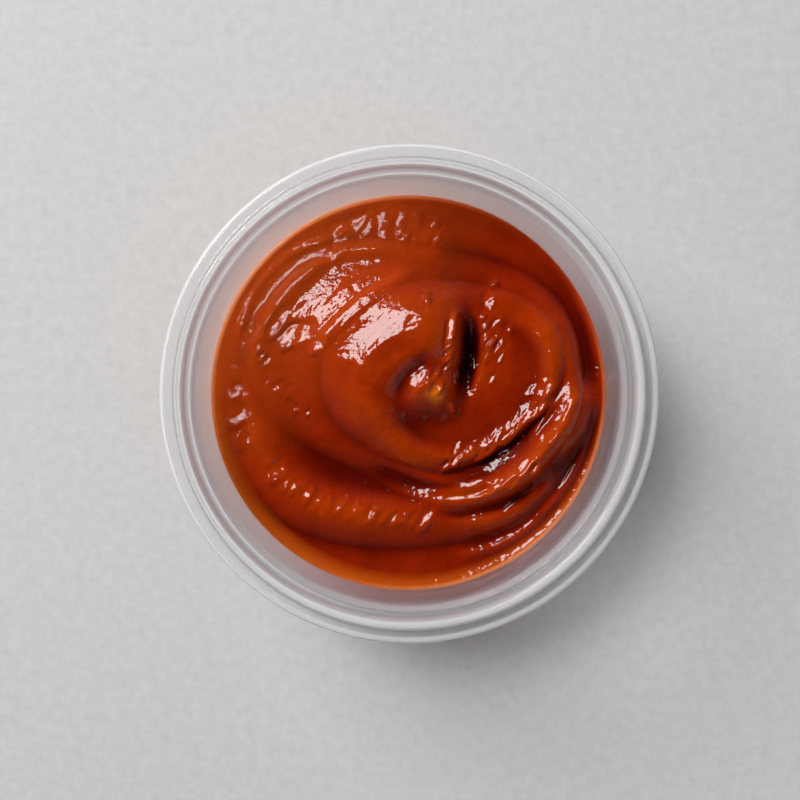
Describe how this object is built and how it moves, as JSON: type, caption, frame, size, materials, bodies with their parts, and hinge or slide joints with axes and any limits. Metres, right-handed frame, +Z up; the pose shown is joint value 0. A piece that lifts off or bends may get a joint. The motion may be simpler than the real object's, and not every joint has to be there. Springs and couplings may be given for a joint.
{
  "type": "portion cup of sriracha sauce",
  "caption": "Small clear tapered cup with a beaded, turned-down rim, part filled with thick red chilli sauce laid in a coil with a curled tip.",
  "frame": {"origin": "middle of the ring that the cup stands on", "axes": "+Z up out of the cup's mouth, along its axis; +X to the right and +Y away when the coil is seen from above with the deep crevice right of the middle"},
  "size_m": [0.062, 0.062, 0.03],
  "materials": {
    "clear_plastic": "thin clear gloss plastic, see-through",
    "chilli_sauce": "thick wet red-orange chilli sauce, glossy, slightly pulpy"
  },
  "bodies": {
    "root": {"cup": "clear_plastic", "sauce": "chilli_sauce"}
  },
  "joints": []
}
